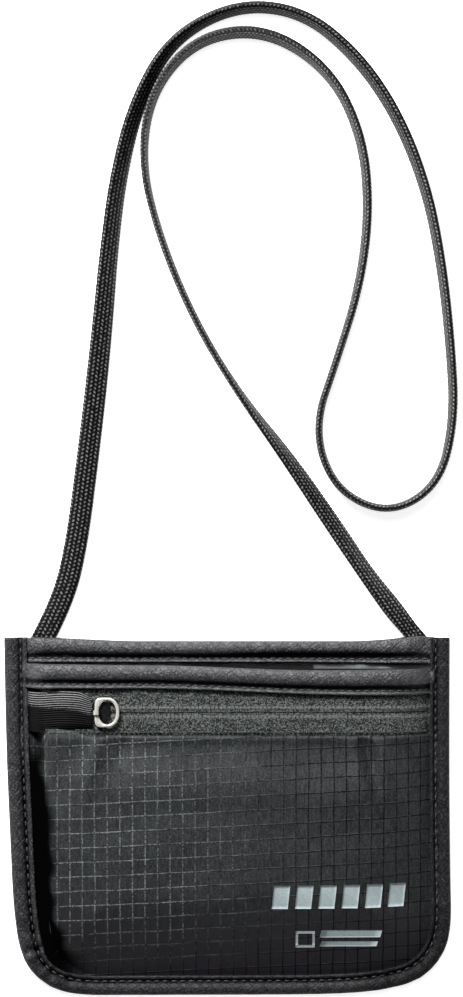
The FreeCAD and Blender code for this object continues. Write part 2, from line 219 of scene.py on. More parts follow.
def add_area_light(name, place_at, target, size, power):
    data = bpy.data.lights.new(name, "AREA")
    data.shape = "DISK"
    data.size = size
    data.energy = power
    light = bpy.data.objects.new(name, data)
    light.location = place_at
    light.rotation_euler = (Vector(target) - Vector(place_at)).to_track_quat("-Z", "Y").to_euler()
    bpy.context.scene.collection.objects.link(light)


FLOOR_RADIUS = 6.0
FLOOR_SIDES = 48
SCREEN_HEIGHT = 1.4
FLOOR_GLOW = 0.85
SURROUND_GLOW = 0.02


def add_studio():
    """A round pale floor with a low pale screen at its rim, lit from beyond the cord."""
    floor_mesh = bpy.data.meshes.new("floor")
    turns = [2 * math.pi * number / FLOOR_SIDES for number in range(FLOOR_SIDES)]
    rim = [(FLOOR_RADIUS * math.cos(turn), FLOOR_RADIUS * math.sin(turn)) for turn in turns]
    corners = [(x, y, height) for height in (0, SCREEN_HEIGHT) for x, y in rim]
    following = list(range(1, FLOOR_SIDES)) + [0]
    screen = [(i, j, j + FLOOR_SIDES, i + FLOOR_SIDES) for i, j in enumerate(following)]
    floor_mesh.from_pydata(corners, [], [tuple(range(FLOOR_SIDES))] + screen)
    floor = bpy.data.objects.new("floor", floor_mesh)
    floor.location.z = -0.05 * MM
    bpy.context.scene.collection.objects.link(floor)
    paper = bpy.data.materials.new("floor_paper")
    paper.use_nodes = True
    shader = paper.node_tree.nodes["Principled BSDF"]
    shader.inputs["Base Color"].default_value = grey(0.93)
    shader.inputs["Roughness"].default_value = 0.9
    shader.inputs["Emission Color"].default_value = grey(1)
    shader.inputs["Emission Strength"].default_value = FLOOR_GLOW
    floor_mesh.materials.append(paper)

    world = bpy.data.worlds.new("surround")
    world.use_nodes = True
    background = world.node_tree.nodes["Background"]
    background.inputs["Color"].default_value = grey(1)
    background.inputs["Strength"].default_value = SURROUND_GLOW
    bpy.context.scene.world = world

    middle = (0, 0.05, 0)
    add_area_light("key", (-0.38, 0.82, 0.62), middle, 0.25, 35)
    add_area_light("softbox", (-0.1, 0.7, 1.0), middle, 0.6, 5)
    bpy.context.scene.view_settings.view_transform = "Standard"


add_camera()
add_studio()


# ---- materials
class Nodes:
    """Short ways to add and join shader nodes."""

    def __init__(self, name):
        self.material = bpy.data.materials.new(name)
        self.material.use_nodes = True
        self.tree = self.material.node_tree
        self.uv = self.add("UVMap", uv_map="cloth")["UV"]

    def feed(self, node, values):
        """Set or join a node's inputs, each given by its name or its place."""
        for which, value in values.items():
            if hasattr(value, "links"):
                self.tree.links.new(value, node.inputs[which])
            else:
                node.inputs[which].default_value = value

    def add(self, kind, values=None, **settings):
        """A new node's outputs."""
        node = self.tree.nodes.new("ShaderNode" + kind)
        for key, value in settings.items():
            setattr(node, key, value)
        self.feed(node, values or {})
        return node.outputs

    def math(self, operation, *values):
        return self.add("Math", dict(enumerate(values)), operation=operation)[0]

    def times(self, first, second):
        return self.math("MULTIPLY", first, second)

    def plus(self, first, second):
        return self.math("ADD", first, second)

    def minus(self, first, second):
        return self.math("SUBTRACT", first, second)

    def ramp(self, value, start, end):
        """0 below start, 1 above end, and smooth between."""
        values = {"Value": value, "From Min": start, "From Max": end}
        return self.add("MapRange", values, interpolation_type="SMOOTHSTEP")[0]

    def mix(self, factor, first, second):
        return self.add("Mix", {0: factor, 6: first, 7: second}, data_type="RGBA")[2]

    def field(self, name):
        """A value that add_field has stored on the mesh."""
        return self.add("Attribute", attribute_name=name)["Fac"]

    def split(self, vector):
        return self.add("SeparateXYZ", {0: vector})

    def stretched_uv(self, across, along):
        """Cloth coordinates counted in lengths of these sizes, in millimetres."""
        return self.add("Mapping", {"Vector": self.uv, "Scale": (1 / across, 1 / along, 1)})[0]

    def noise_at(self, where, scale, detail=2.0, roughness=0.5):
        values = {"Vector": where, "Scale": scale, "Detail": detail, "Roughness": roughness}
        return self.add("TexNoise", values)["Fac"]

    def noise(self, size, detail=2.0, roughness=0.5):
        """Grey noise in the cloth's own coordinates, with lumps of this size in millimetres."""
        return self.noise_at(self.uv, 1 / size, detail, roughness)

    def specks(self, across, along):
        """A random value for every crossing of threads of these sizes, in millimetres."""
        u, v, _ = self.split(self.stretched_uv(across, along))
        crossing = self.add("CombineXYZ", {0: self.math("FLOOR", u), 1: self.math("FLOOR", v)})[0]
        return self.add("TexWhiteNoise", {"Vector": crossing}, noise_dimensions="2D")["Value"]

    def wave(self, coordinate):
        """A row of round threads, 0 between them and 1 on their crowns."""
        return self.math("ABSOLUTE", self.math("SINE", self.times(coordinate, math.pi)))

    def plain_weave(self, across, along):
        """Threads over and under each other, with the two directions in alternate cells."""
        u, v, _ = self.split(self.stretched_uv(across, along))
        both = self.plus(self.math("FLOOR", u), self.math("FLOOR", v))
        odd = self.math("MODULO", self.math("ABSOLUTE", both), 2.0)
        return self.plus(self.times(self.wave(u), odd), self.times(self.wave(v), self.minus(1.0, odd)))

    def finish(self, colour, height, depth, roughness=0.7, sheen=0.0, specular=0.4, metallic=0.0):
        """Set the shader's sockets. depth is the height of the relief, in millimetres."""
        bump = self.add("Bump", {"Height": height, "Distance": depth * MM, "Strength": 1.0})
        self.feed(self.tree.nodes["Principled BSDF"], {
            "Base Color": colour,
            "Roughness": roughness,
            "Sheen Weight": sheen,
            "Sheen Roughness": 0.4,
            "Specular IOR Level": specular,
            "Metallic": metallic,
            "Normal": bump["Normal"],
        })
        return self.material


def line_of(nodes, coordinate, pitch, width):
    """1 on lines this wide, repeated at this pitch, and 0 between them, in millimetres."""
    turns = nodes.math("DIVIDE", coordinate, pitch)
    away = nodes.math("ABSOLUTE", nodes.minus(nodes.math("FRACT", turns), 0.5))
    return nodes.ramp(nodes.times(away, pitch), width * 0.75, width * 0.25)


# Cloth sizes in millimetres. The line patterns give their pitch and the width of a line.
GRID_WARP = (4.05, 0.42)
GRID_WEFT = (4.7, 0.36)
RIPSTOP_THREAD = (0.34, 0.34)
DIAMOND_LINE = (3.4, 0.45)
HERRINGBONE_ROW = (1.3, 0.65)
HERRINGBONE_TWILL = (0.62, 0.34)
HEM_DASH = (1.3, 0.9)
CLOSURE_BROWN = (0.014, 0.013, 0.012, 1)


def ripstop_material():
    """Thin nylon with a heavier thread every few millimetres each way, painted with sheen on those threads
    towards the top left and with painted shade on them elsewhere.
    """
    nodes = Nodes("ripstop")
    x, y, _ = nodes.split(nodes.uv)
    waver = nodes.times(nodes.minus(nodes.noise(18), 0.5), 0.8)
    tilted = nodes.minus(y, nodes.times(x, 0.05))
    warp = line_of(nodes, nodes.plus(x, waver), *GRID_WARP)
    weft = line_of(nodes, nodes.plus(tilted, waver), *GRID_WEFT)
    grid = nodes.math("MAXIMUM", warp, weft)
    broken = nodes.ramp(nodes.specks(0.42, 0.42), 0.15, 0.85)
    # Painted sheen: the worn mask is not wear. It marks where the heavier threads are drawn light, towards
    # the left and the top.
    worn = nodes.times(nodes.ramp(x, 34, -30), nodes.ramp(nodes.noise(14), 0.2, 0.55))
    worn = nodes.times(worn, nodes.ramp(y, -56, -26))
    painted_sheen_lines = nodes.times(nodes.times(grid, broken), worn)
    # Painted shade: elsewhere the heavier threads are drawn dark.
    shade = nodes.times(grid, nodes.minus(1.0, worn))
    thread = nodes.ramp(nodes.noise_at(nodes.stretched_uv(1 / 1.7, 4), 1, 3), 0.35, 0.7)
    cloth = nodes.mix(thread, (0.004, 0.0046, 0.0048, 1), (0.013, 0.015, 0.016, 1))
    # Painted shade: the cloth darkens to a purplish black towards the bottom of the panel.
    cloth = nodes.mix(nodes.ramp(y, -20, -44), cloth, (0.007, 0.006, 0.0085, 1))
    lined = nodes.mix(nodes.times(shade, 0.85), cloth, grey(0.0006))
    # Painted glints on random thread crossings, fading out towards the bottom.
    dots = nodes.times(nodes.ramp(nodes.specks(*RIPSTOP_THREAD), 0.5, 1.0), nodes.ramp(y, -48, -8))
    # Painted highlight colour for the sheen lines and for the glinting thread crossings.
    lit = nodes.math("MAXIMUM", nodes.times(painted_sheen_lines, 0.8), nodes.times(dots, 0.13))
    face = nodes.mix(lit, lined, (0.13, 0.145, 0.145, 1))
    # Painted shade: the cloth down the left trench is drawn near black, and loses its gloss there.
    trench_painted_shade = nodes.field("trench_painted_shade")
    colour = nodes.mix(trench_painted_shade, face, grey(0.0008))
    sunk = nodes.math("MAXIMUM", trench_painted_shade, nodes.times(shade, 0.8))
    gloss = nodes.times(nodes.minus(1.0, sunk), 0.23)
    weave = nodes.plain_weave(*RIPSTOP_THREAD)
    height = nodes.plus(nodes.times(grid, 0.9), nodes.times(weave, 0.35))
    height = nodes.plus(height, nodes.times(thread, 0.4))
    return nodes.finish(colour, height, 0.12, roughness=0.47, specular=gloss)


def plain_nylon_material():
    """The unpatterned cloth of the inner layers and the back."""
    nodes = Nodes("plain_nylon")
    weave = nodes.plain_weave(0.36, 0.3)
    cloth = nodes.mix(nodes.noise(9), (0.008, 0.008, 0.009, 1), (0.02, 0.02, 0.022, 1))
    colour = nodes.mix(weave, cloth, (0.026, 0.026, 0.029, 1))
    return nodes.finish(colour, weave, 0.05, roughness=0.5, sheen=0.05, specular=0.35)


def binding_material():
    """Soft woven tape with a faint diamond of heavier threads, rubbed grey on its high parts."""
    nodes = Nodes("binding_tape")
    x, y, _ = nodes.split(nodes.uv)
    one_way = line_of(nodes, nodes.plus(x, y), *DIAMOND_LINE)
    other_way = line_of(nodes, nodes.minus(x, y), *DIAMOND_LINE)
    diamond = nodes.math("MAXIMUM", one_way, other_way)
    crossings = nodes.times(nodes.minus(nodes.specks(0.36, 0.36), 0.5), 0.18)
    speckle = nodes.plus(nodes.noise(0.7, 2.0, 0.65), crossings)
    cloud = nodes.noise(6)
    cloth = nodes.mix(cloud, (0.003, 0.003, 0.0034, 1), (0.02, 0.02, 0.023, 1))
    rubbed = nodes.mix(nodes.ramp(speckle, 0.45, 0.75), cloth, (0.075, 0.077, 0.084, 1))
    lined = nodes.mix(nodes.times(diamond, 0.5), rubbed, (0.008, 0.008, 0.01, 1))
    # Painted shade from the pressed field: it darkens the stitched furrows, and the perimeter tape down its
    # right side and along the bottom, and takes gloss off there.
    pressed = nodes.field("pressed")
    colour = nodes.mix(nodes.times(pressed, 0.85), lined, grey(0.001))
    height = nodes.minus(speckle, nodes.times(diamond, 0.35))
    gloss = nodes.times(nodes.minus(1.15, pressed), 0.36)
    return nodes.finish(colour, height, 0.3, roughness=0.5, specular=gloss)


def shield_material():
    """Silver-grey conductive lining, finely woven, with a dull metal gleam."""
    nodes = Nodes("shield_fabric")
    weave = nodes.plain_weave(0.3, 0.3)
    cloth = nodes.mix(nodes.noise(1.6), (0.025, 0.026, 0.029, 1), (0.085, 0.087, 0.093, 1))
    colour = nodes.mix(weave, cloth, (0.11, 0.112, 0.118, 1))
    return nodes.finish(colour, weave, 0.04, roughness=0.5, specular=0.4, metallic=0.35)


def zip_tape_material():
    """Herringbone tape, grey-green with bright and dark flecks."""
    nodes = Nodes("zip_tape")
    x, y, _ = nodes.split(nodes.uv)
    rows = nodes.times(nodes.minus(line_of(nodes, y, *HERRINGBONE_ROW), 0.5), 2.0)
    slant = nodes.plus(x, nodes.times(rows, y))
    twill = line_of(nodes, slant, *HERRINGBONE_TWILL)
    speck = nodes.specks(0.36, 0.3)
    cloudy = nodes.times(nodes.noise(0.8), 0.36)
    woven = nodes.plus(nodes.times(twill, 0.16), nodes.times(speck, 0.52))
    mixed = nodes.plus(woven, cloudy)
    dark = nodes.mix(nodes.ramp(mixed, 0.34, 0.55), grey(0.0006), (0.027, 0.031, 0.029, 1))
    flecked = nodes.mix(nodes.ramp(mixed, 0.57, 0.74), dark, (0.115, 0.126, 0.12, 1))
    seam = nodes.field("seam")
    dash = nodes.times(nodes.times(seam, line_of(nodes, x, *HEM_DASH)), 0.8)
    colour = nodes.mix(dash, flecked, (0.15, 0.16, 0.15, 1))
    return nodes.finish(colour, mixed, 0.3, roughness=0.6, specular=0.2)


def grosgrain_material():
    """Ribbed ribbon with painted highlights on its ribs, which the relief field fades out towards painted
    shade.
    """
    nodes = Nodes("ribbon")
    relief = nodes.field("relief")
    threads = nodes.noise(0.5)
    crown = nodes.times(relief, nodes.plus(threads, 0.5))
    colour = nodes.mix(nodes.ramp(crown, 0.5, 0.9), grey(0.0004), (0.15, 0.15, 0.153, 1))
    return nodes.finish(colour, threads, 0.05, roughness=0.6, specular=0.06)


def braid_material():
    """Black tubular braid with a painted glint on the crown of each strand."""
    nodes = Nodes("cord_braid")
    relief = nodes.field("relief")
    uneven = nodes.noise(1.1)
    crown = nodes.ramp(nodes.times(relief, nodes.plus(uneven, 0.5)), 0.66, 1.0)
    colour = nodes.mix(crown, (0.001, 0.001, 0.0011, 1), (0.12, 0.12, 0.115, 1))
    return nodes.finish(colour, nodes.noise(0.25), 0.04, roughness=0.5, specular=0.15)


def print_material():
    """Pale grey ink with the weave of the cloth showing through."""
    nodes = Nodes("print_ink")
    weave = nodes.plain_weave(*RIPSTOP_THREAD)
    worn = nodes.ramp(nodes.noise(0.8, 3.0), 0.3, 0.7)
    ink = nodes.mix(worn, (0.10, 0.13, 0.14, 1), (0.24, 0.29, 0.30, 1))
    colour = nodes.mix(weave, ink, (0.28, 0.33, 0.34, 1))
    return nodes.finish(colour, weave, 0.05, roughness=0.6, specular=0.3)


def metal_material(name, metallic, painted_below=None):
    """Cast metal with a lightly rubbed surface, which may be painted black below some height."""
    nodes = Nodes(name)
    where = nodes.add("TexCoord")["Object"]
    wear = nodes.noise_at(where, 900, 3)
    colour = nodes.mix(wear, (0.44, 0.43, 0.39, 1), (0.62, 0.60, 0.55, 1))
    if painted_below is not None:
        height = nodes.split(where)[2]
        bare = nodes.ramp(height, painted_below - 0.1 * MM, painted_below + 0.1 * MM)
        colour = nodes.mix(bare, grey(0.004), colour)
        metallic = nodes.times(bare, metallic)
    rough = nodes.times(nodes.ramp(wear, -0.6, 1.8), 0.6)
    return nodes.finish(colour, wear, 0.03, rough, specular=0.5, metallic=metallic)


def slider_material():
    """Black paint, worn away along the crown of the bridge."""
    return metal_material("slider_metal", 0.45, painted_below=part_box("zip_slider")[1].z - 0.25 * MM)


def two_tone_material(name, pattern, low, high, depth, **shading):
    """One pattern, drawn from the material's nodes, that sets both the shade and the relief."""
    nodes = Nodes(name)
    amount = pattern(nodes)
    return nodes.finish(nodes.mix(amount, low, high), amount, depth, **shading)


def thread_material():
    return two_tone_material("thread", lambda nodes: nodes.noise(0.3),
                             (0.006, 0.006, 0.007, 1), (0.038, 0.038, 0.042, 1),
                             0.04, roughness=0.55, specular=0.3)


def hook_material():
    """Stiff tape covered in small nylon hooks."""
    return two_tone_material("hook_tape", lambda nodes: nodes.plain_weave(0.9, 0.7),
                             grey(0.001), CLOSURE_BROWN, 0.5, roughness=0.7, specular=0.15)


def loop_material():
    """Napped tape of fine loops."""
    return two_tone_material("loop_tape", lambda nodes: nodes.noise(0.4, 4.0, 0.8),
                             grey(0.001), CLOSURE_BROWN, 0.4, roughness=0.9, sheen=0.05, specular=0.1)


def coil_material():
    """Black nylon coil teeth, smooth and slightly glossy."""
    return two_tone_material("zip_coil", lambda nodes: nodes.noise_at(nodes.add("TexCoord")["Object"], 1400),
                             grey(0.006), grey(0.02), 0.03, roughness=0.35, specular=0.5)


MATERIALS = {
    "ripstop": ripstop_material(),
    "plain_nylon": plain_nylon_material(),
    "binding_tape": binding_material(),
    "shield_fabric": shield_material(),
    "zip_tape": zip_tape_material(),
    "ribbon": grosgrain_material(),
    "thread": thread_material(),
    "hook_tape": hook_material(),
    "loop_tape": loop_material(),
    "cord_braid": braid_material(),
    "print_ink": print_material(),
    "zip_coil": coil_material(),
    "slider_metal": slider_material(),
    "puller_metal": metal_material("puller_metal", 0.45),
}


# ---- the neck cord
# Each point is x and y in metres, and how far the flat cord has turned about its own line by
# there, in degrees: 0 and -180 lie flat, and -90 stands on edge.
CORD_ROUTE = [
    (-0.0590, 0.0593, 0),
    (-0.0528, 0.0712, -4),
    (-0.0487, 0.0898, -12),
    (-0.0457, 0.1128, -18),
    (-0.0428, 0.1368, -23),
    (-0.0403, 0.1610, -33),
    (-0.0383, 0.1840, -45),
    (-0.0353, 0.2080, -50),
    (-0.0295, 0.2312, -56),
    (-0.0183, 0.2522, -70),
    (0.0030, 0.2636, -75),
    (0.0250, 0.2612, -76),
    (0.0428, 0.2463, -70),
    (0.0558, 0.2268, -71),
    (0.0650, 0.2030, -75),
    (0.0698, 0.1780, -78),
    (0.0725, 0.1530, -80),
    (0.0738, 0.1290, -81),
    (0.0688, 0.1075, -87),
    (0.0524, 0.0979, -88),
    (0.0348, 0.1062, -90),
    (0.0280, 0.1260, -91),
    (0.0359, 0.1490, -92),
    (0.0430, 0.1720, -99),
    (0.0461, 0.1960, -101),
    (0.0441, 0.2200, -101),
    (0.0338, 0.2420, -101),
    (0.0131, 0.2556, -106),
    (-0.0093, 0.2529, -104),
    (-0.0242, 0.2363, -99),
    (-0.0280, 0.2128, -94),
    (-0.0216, 0.1870, -91),
    (-0.0101, 0.1600, -90),
    (0.0044, 0.1365, -97),
    (0.0194, 0.1170, -122),
    (0.0344, 0.0950, -134),
    (0.0488, 0.0735, -128),
    (0.0606, 0.0592, -166),
]
CORD_WIDTH = 7.6
CORD_THICKNESS = 2.5
CORD_SQUARENESS = 2 / 2.6
BRAID_COLUMNS = 12
BRAID_PICK = 1.3
BRAID_RELIEF = 0.2
RINGS_PER_PICK = 4
POINTS_PER_COLUMN = 4


def cord_section(count):
    """Round the flat cord: across and up from its centre, and the outward direction."""
    turn = np.linspace(0, 2 * math.pi, 721)
    across = signed_power(np.cos(turn), CORD_SQUARENESS) * CORD_WIDTH / 2
    up = signed_power(np.sin(turn), CORD_SQUARENESS) * CORD_THICKNESS / 2
    loop = resample(np.stack([across, up], axis=1), 0.01)[0]
    even = np.linspace(0, len(loop) - 1, count, endpoint=False)
    at = np.stack([np.interp(even, np.arange(len(loop)), loop[:, axis]) for axis in (0, 1)], axis=1)
    ahead = np.roll(at, -1, axis=0) - np.roll(at, 1, axis=0)
    outward = unit(np.stack([ahead[:, 1], -ahead[:, 0]], axis=1))
    return at, outward


def standing_height(roll):
    """How high the cord's centre is above the floor when it is turned this far onto its edge."""
    section = cord_section(72)[0]
    return np.abs(section[:, 0] * math.sin(roll) + section[:, 1] * math.cos(roll)).max()


def braid_relief(column, pick):
    """The crown of each strand, 0 to 1. Neighbouring columns lean opposite ways."""
    whole = np.floor(column)
    lean = np.where(whole % 2 == 0, 0.28, -0.28)
    u = column - whole - 0.5
    v = pick + 0.5 * (whole % 2) + lean * u * 2
    v = v - np.floor(v) - 0.5
    return np.clip(np.cos(math.pi * u) * 1.15, 0, 1) * np.clip(np.cos(math.pi * v) * 1.3, 0, 1)


def braid_skin(name, line, at, roll, thinness, narrowness):
    """A braided flat cord along a line, turned by roll, and gathered thinner and narrower."""
    ahead = unit(np.gradient(line, axis=0))
    side = unit(np.stack([ahead[:, 1], -ahead[:, 0], np.zeros(len(line))], axis=1))
    up = np.cross(side, ahead)
    angle = np.radians(roll)[:, None]
    wide = side * np.cos(angle) + up * np.sin(angle)
    thick = up * np.cos(angle) - side * np.sin(angle)
    count = BRAID_COLUMNS * POINTS_PER_COLUMN
    section, outward = cord_section(count)
    column, pick = np.meshgrid(np.arange(count) / POINTS_PER_COLUMN, at / BRAID_PICK)
    relief = braid_relief(column, pick)
    swollen = section[None] + outward[None] * ((relief - 1) * BRAID_RELIEF)[..., None]
    swollen[..., 0] *= narrowness[:, None]
    swollen[..., 1] *= thinness[:, None]
    rings = line[:, None] + swollen[..., :1] * wide[:, None] + swollen[..., 1:] * thick[:, None]
    uv = np.stack([column * 1.1, pick * BRAID_PICK], axis=-1)
    skin = tube_mesh(name, rings, uv)
    add_field(skin, "relief", relief)
    return skin


CORD_END_LENGTH = 9.0
CORD_END_THINNESS = 0.28
CORD_EXIT_THINNESS = 0.7
CORD_END_Z = 1.35
GATHER_LENGTH = 14.0
RIGHT_END_NARROWNESS = 0.78


def add_cord_end(name, node, line, roll, narrowness):
    """The cord's end, going on in the same direction and flattening to be sewn between the layers."""
    start, ahead = line[0], unit(line[0] - line[4])
    ahead[2] = 0
    at = np.arange(0, CORD_END_LENGTH, BRAID_PICK / RINGS_PER_PICK)
    pressed = smoothstep(at, 0.0, 2.4)
    roll = roll - 180 * round(roll / 180)
    points = start + ahead * at[:, None]
    points[:, 2] = start[2] + (CORD_END_Z - start[2]) * pressed
    thinness = CORD_EXIT_THINNESS + (CORD_END_THINNESS - CORD_EXIT_THINNESS) * pressed
    end = braid_skin(name, points[::-1], -at[::-1], roll * (1 - pressed[::-1]), thinness[::-1],
                     np.full(len(at), narrowness))
    place(end, "pouch", "cord_braid", node)


def add_cord():
    controls = [(x, y, standing_height(math.radians(roll)) * MM) for x, y, roll in CORD_ROUTE]
    path = spline_points("cord_route", controls)
    rolls = spline_points("cord_roll", [(roll, 0, 0) for _, _, roll in CORD_ROUTE])[:, 0]
    line, at, roll = resample(path / MM, BRAID_PICK / RINGS_PER_PICK, rolls)
    to_end = np.minimum(at, at[-1] - at)
    thinness = CORD_EXIT_THINNESS + (1 - CORD_EXIT_THINNESS) * smoothstep(to_end, 0, GATHER_LENGTH / 2)
    narrowness = RIGHT_END_NARROWNESS + (1 - RIGHT_END_NARROWNESS) * smoothstep(at[-1] - at, 0, GATHER_LENGTH)
    cord = braid_skin("neck_cord_braid", line, at, roll, thinness, narrowness)
    place(cord, "pouch", "cord_braid", "neck_cord")
    add_cord_end("cord_end_left_braid", "cord_end_left", line, roll[0], 1)
    add_cord_end("cord_end_right_braid", "cord_end_right", line[::-1], -roll[-1], RIGHT_END_NARROWNESS)


add_cord()


# ---- the pouch's outline and thickness
LEFT, BOTTOM = POUCH_LOW.x / MM, POUCH_LOW.y / MM
RIGHT, TOP = POUCH_HIGH.x / MM, POUCH_HIGH.y / MM
PLY = 0.3
BINDING_LEFT = 7.4
BINDING_BOTTOM = 6.3
BINDING_RIGHT = 6.3

# The outline, from the top left corner down, along the bottom and up to the top right corner.
OUTLINE_CONTROLS = [
    (LEFT + 0.1, TOP),
    (LEFT + 0.6, 25),
    (LEFT + 2.2, -10),
    (LEFT + 3.1, -30),
    (LEFT + 5.5, BOTTOM + 12),
    (LEFT + 12.5, BOTTOM + 3.6),
    (-50, BOTTOM - 0.2),
    (-30, BOTTOM - 0.1),
    (10, BOTTOM),
    (36, BOTTOM + 0.2),
    (51, BOTTOM + 1.5),
    (RIGHT - 9.5, BOTTOM + 4.8),
    (RIGHT - 2.2, BOTTOM + 12.5),
    (RIGHT + 0.5, BOTTOM + 22),
    (RIGHT + 0.1, -20),
    (RIGHT - 0.3, 20),
    (RIGHT - 0.1, TOP),
]
EDGE, EDGE_AT = resample(spline_points("outline", [(x, y, 0) for x, y in OUTLINE_CONTROLS]), 0.7)
AHEAD = unit(np.gradient(EDGE, axis=0))
INWARD = np.stack([-AHEAD[:, 1], AHEAD[:, 0], np.zeros(len(EDGE))], axis=1)


def inset_from_edge(x, y):
    """How far inside the outline a point is."""
    near = np.full(np.shape(x), np.inf)
    for point in EDGE:
        near = np.minimum(near, np.hypot(x - point[0], y - point[1]))
    return near


def side_limits(y, inset):
    """The left and right ends of a row of cloth that stops short of the outline."""
    inner = EDGE + INWARD * inset
    middle = int(np.abs(EDGE[:, 0]).argmin())
    left = np.interp(y, inner[:middle, 1][::-1], inner[:middle, 0][::-1])
    right = np.interp(y, inner[middle:, 1], inner[middle:, 0])
    return left, right


def cloth_grid(top, bottom, inset, spacing):
    """Points over the pouch between two heights up it, following the outline's sides."""
    rows = np.linspace(top, bottom, max(2, round((top - bottom) / spacing) + 1))
    left, right = side_limits(rows, inset)
    columns = np.linspace(0, 1, round((RIGHT - LEFT) / spacing) + 1)
    x = left[:, None] + (right - left)[:, None] * columns
    y = np.repeat(rows[:, None], len(columns), axis=1)
    return x, y


def swell(inset, start, width):
    """0 up to the start, then rising fast and levelling off at 1."""
    t = np.clip((inset - start) / width, 0, 1)
    return 1 - (1 - t) ** 2.2


RIM_Z = 2.0
TAPE_RISE = 6.7
CROWN_RISE = 2.0
PANEL_TOP_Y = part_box("front_panel")[1].y / MM
ZIP_Y = (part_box("zip_coil_upper")[0].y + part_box("zip_coil_lower")[1].y) / 2 / MM
PANEL_BOTTOM_INSET = 3.5
HEM_DEPTH = 2.2
HEM_GAP = 0.5
PANEL_CORNER_RISE = 2.0


def tape_height(x, y, inset):
    """The front layers' height: low at the binding, and as thick as the pouch within it."""
    width = 8 + 7 * smoothstep(x, -60, -30)
    return RIM_Z + TAPE_RISE * swell(inset, 6.5, width)


def panel_side(x, y, inset):
    """The panel's rise from the binding, slow at the bottom.

    Down the left side a trench comes before a steep wall.
    """
    left = 1 - smoothstep(x, -57, -42)
    bottom = smoothstep(-y, -10, 45) * (1 - left)
    return swell(inset, 6.5 + 4.4 * left, 15 - 11 * left + 22 * bottom)


# Folds that run down from the panel's top edge: where across, how wide, and how high or deep.
PUCKERS = [
    (-41, 3.0, 1.4),
    (-33, 2.6, -0.5),
    (40, 2.2, 1.0),
    (44, 1.8, -1.0),
    (49, 2.6, 1.4),
    (57, 2.2, -0.6),
]


def panel_height(x, y, inset):
    """The front panel: a full pillow behind its top fold, with a few soft puckers."""
    down = PANEL_TOP_Y - y
    plump = smoothstep(inset, 10, 36) * smoothstep(down, 1, 20)
    height = RIM_Z + PLY + TAPE_RISE * panel_side(x, y, inset) + CROWN_RISE * plump
    fold = 0.35 * hump(down, 1.2, 1.0)
    loose = smoothstep(inset, 6.5, 14) * np.minimum(3 * panel_side(x, y, inset), 1)
    wave = 0.28 * ripple(x, y, 26, 3) + 0.07 * ripple(x, y, 8, 4)
    below_hem = np.clip(down / 7, 0, None)
    near_hem = below_hem * np.exp(1 - below_hem)
    pucker = 0
    for centre, width, depth in PUCKERS:
        pucker = pucker + depth * hump(x - down * 0.25 * np.sign(centre), centre, width)
    return height + fold * loose + loose * (wave + near_hem * pucker)


def add_front_panel():
    """The pocket's front, with its top edge folded under and its other edges inside the binding."""
    bottom = EDGE[:, 1].min() + PANEL_BOTTOM_INSET
    x, y = cloth_grid(PANEL_TOP_Y, bottom + 0.05, PANEL_BOTTOM_INSET, 0.9)
    y = y + PANEL_CORNER_RISE * (1 - smoothstep(x, -54, -43)) * smoothstep(y, PANEL_TOP_Y - 9, PANEL_TOP_Y)
    inset = inset_from_edge(x, y)
    face = grid_points(x, y, panel_height(x, y, inset))
    tucked = []
    for share in (1.0, 0.6, 0.25, 0.05):
        y_under = y[0] - HEM_DEPTH * share
        tucked.append(grid_points(x[0], y_under, panel_height(x[0], y_under, inset[0]) - HEM_GAP))
    points = np.concatenate([np.array(tucked), face])
    flat = points[..., :2].copy()
    flat[:len(tucked), :, 1] = PANEL_TOP_Y * 2 - flat[:len(tucked), :, 1]
    panel = sheet_mesh("front_panel_cloth", points, PLY * 0.8, flat)
    # Painted shade for the left trench: near black up to a ragged line short of the wall, fading towards the
    # top.
    ragged = 9.6 + 2.8 * smoothstep(-y, -24, 0) + 1.3 * ripple(0 * x, y, 13, 5)
    trench = (1 - smoothstep(inset - ragged, 0, 3.4)) * (1 - smoothstep(x, -54, -42))
    trench = trench * (1 - 0.6 * smoothstep(y, 17, 26))
    shaded = np.concatenate([np.repeat(trench[:1], len(tucked), axis=0), trench])
    add_field(panel, "trench_painted_shade", np.tile(shaded.ravel(), 2))
    place(panel, "pouch", "ripstop", "front_panel")


# ---- flat inner layers
LAYER_SPACING = 1.6
LINER_THICKNESS = 0.15


def add_layer(name, node, slot, top, inset, height, flat_length):
    """A ply of cloth that fills the outline up to a top edge, at a height that may change over it."""
    bottom = EDGE[:, 1].min() + inset + 0.05
    x, y = cloth_grid(top, bottom, inset, LAYER_SPACING)
    z = height(x, y, inset_from_edge(x, y))
    thickness = LINER_THICKNESS if slot == "shield_fabric" else PLY
    layer = sheet_mesh(name, grid_points(x, y, z), thickness)
    place(layer, "pouch", slot, node)


def divider_height(x, y, inset):
    """The wall between the two pockets."""
    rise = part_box("divider_panel")[1].z / MM - RIM_Z + PLY
    slack = 0.1 * ripple(x, y, 30, 11) * swell(inset, 6.5, 20)
    return RIM_Z - PLY + rise * panel_side(x, y, inset) + slack


def front_liner_height(x, y, inset):
    return divider_height(x, y, inset) + LINER_THICKNESS + 0.15


def back_height(x, y, inset):
    return np.full(x.shape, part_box("back_panel")[1].z / MM)


def back_liner_height(x, y, inset):
    """Flat, with two creases where it shows inside the slot."""
    crease = 0.9 * hump(x, 44, 2.2) + hump(x, 52, 1.6)
    in_slot = smoothstep(y, 38, 44) * smoothstep(y, 49.6, 48.4)
    return back_height(x, y, inset) + LINER_THICKNESS + 0.1 + crease * in_slot


